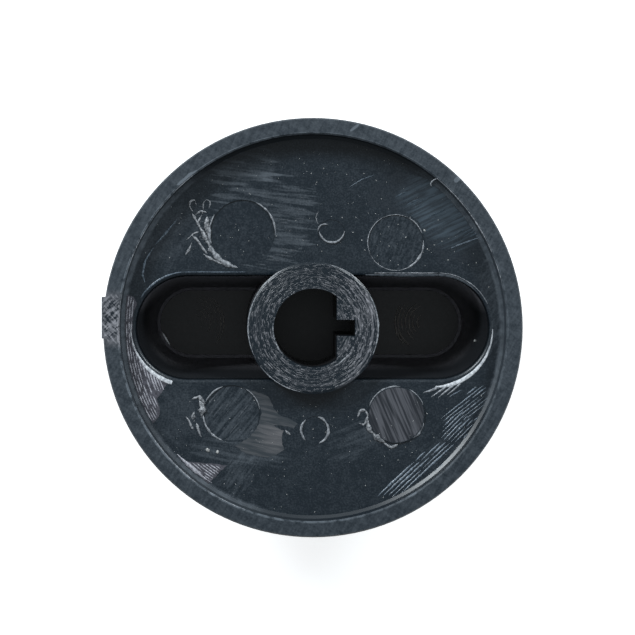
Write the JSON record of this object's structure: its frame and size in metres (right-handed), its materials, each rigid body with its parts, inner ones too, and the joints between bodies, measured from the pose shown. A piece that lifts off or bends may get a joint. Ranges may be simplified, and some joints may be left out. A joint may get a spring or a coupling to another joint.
{
  "type": "stove knob",
  "caption": "Round black plastic stove knob with a shallow skirt, a hollow bar grip and a central hub whose keyed D-shaped socket pushes onto a tap spindle.",
  "frame": {"origin": "on the spindle axis, in the plane of the grip's flat end face, on which the knob rests", "axes": "+Z along the spindle axis from the grip's end face to the open back, +X along the grip towards its pointer and the flat of the bore, +Y across the grip"},
  "size_m": [0.0426, 0.0424, 0.023],
  "materials": {
    "black_plastic": "as-moulded, satin"
  },
  "bodies": {
    "root": {"knob_body": "black_plastic"}
  },
  "joints": []
}
